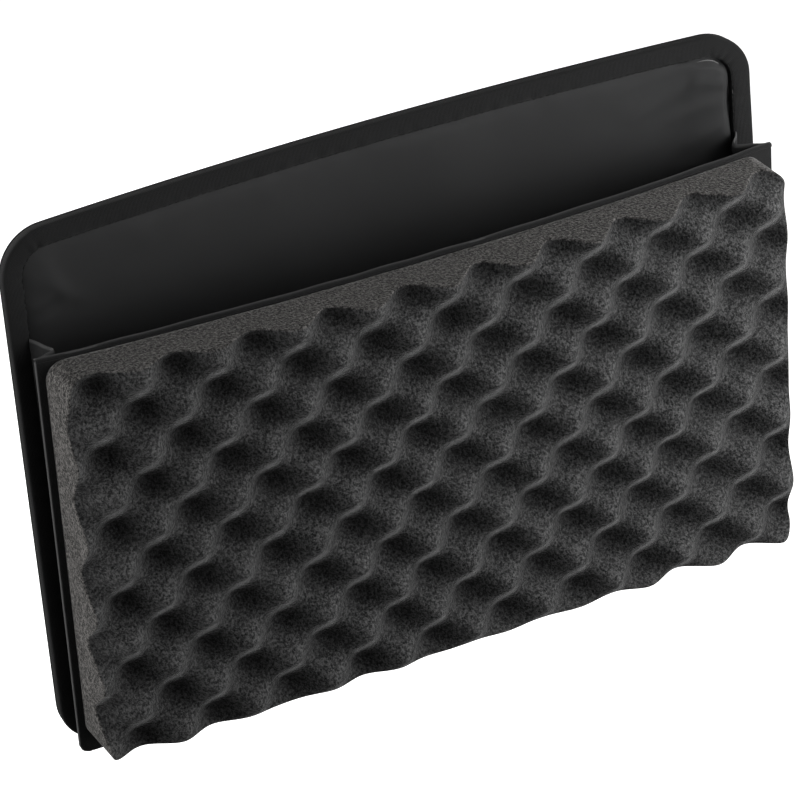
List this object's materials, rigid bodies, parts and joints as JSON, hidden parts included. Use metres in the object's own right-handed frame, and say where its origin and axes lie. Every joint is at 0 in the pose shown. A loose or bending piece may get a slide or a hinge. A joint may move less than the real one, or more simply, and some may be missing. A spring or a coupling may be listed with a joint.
{
  "type": "case lid document pocket with egg-crate foam face",
  "caption": "Flat fabric document pocket for the inside of a case lid, with a thin tilting front panel faced in egg-crate foam padding.",
  "frame": {"origin": "centre of the middle hook tape's rear face, which lies on the lid", "axes": "+X along the pocket's mouth, +Y out of the rear face into the lid, +Z from the pocket's foot to its mouth"},
  "size_m": [0.362, 0.0762, 0.252],
  "materials": {
    "woven_cloth": "black woven polyester, matt",
    "gusset_cloth": "black thin woven polyester, matt",
    "nylon_lining": "black smooth nylon, slight sheen",
    "acoustic_foam": "charcoal open-cell polyurethane foam",
    "foam_strip": "dark grey foam strip",
    "felt": "grey felt",
    "stiff_board": "black polyethylene board",
    "hook_tape": "black hook tape",
    "thread": "black polyester sewing thread",
    "adhesive": "double-sided adhesive film"
  },
  "bodies": {
    "back_panel": {"back_cover": "woven_cloth", "back_board": "stiff_board", "back_wadding": "felt", "back_lining": "nylon_lining", "rim_filler": "foam_strip", "rim_band": "woven_cloth", "rim_seam": "thread", "left_tape": "hook_tape", "middle_tape": "hook_tape", "right_tape": "hook_tape", "left_gusset": "gusset_cloth", "right_gusset": "gusset_cloth", "foot_gusset": "gusset_cloth"},
    "front_panel": {"front_board": "stiff_board", "front_cover": "woven_cloth", "front_lining": "nylon_lining", "mouth_hem": "woven_cloth", "foam_adhesive": "adhesive", "foam_pad": "acoustic_foam"}
  },
  "joints": [
    {"name": "pocket_mouth", "type": "hinge", "parent": "back_panel", "child": "front_panel", "pos_m": [0, -0.02794, -0.1216], "axis": [1, 0, 0], "range_deg": [-3.6, 4], "deforming": ["left_gusset", "right_gusset"]}
  ]
}
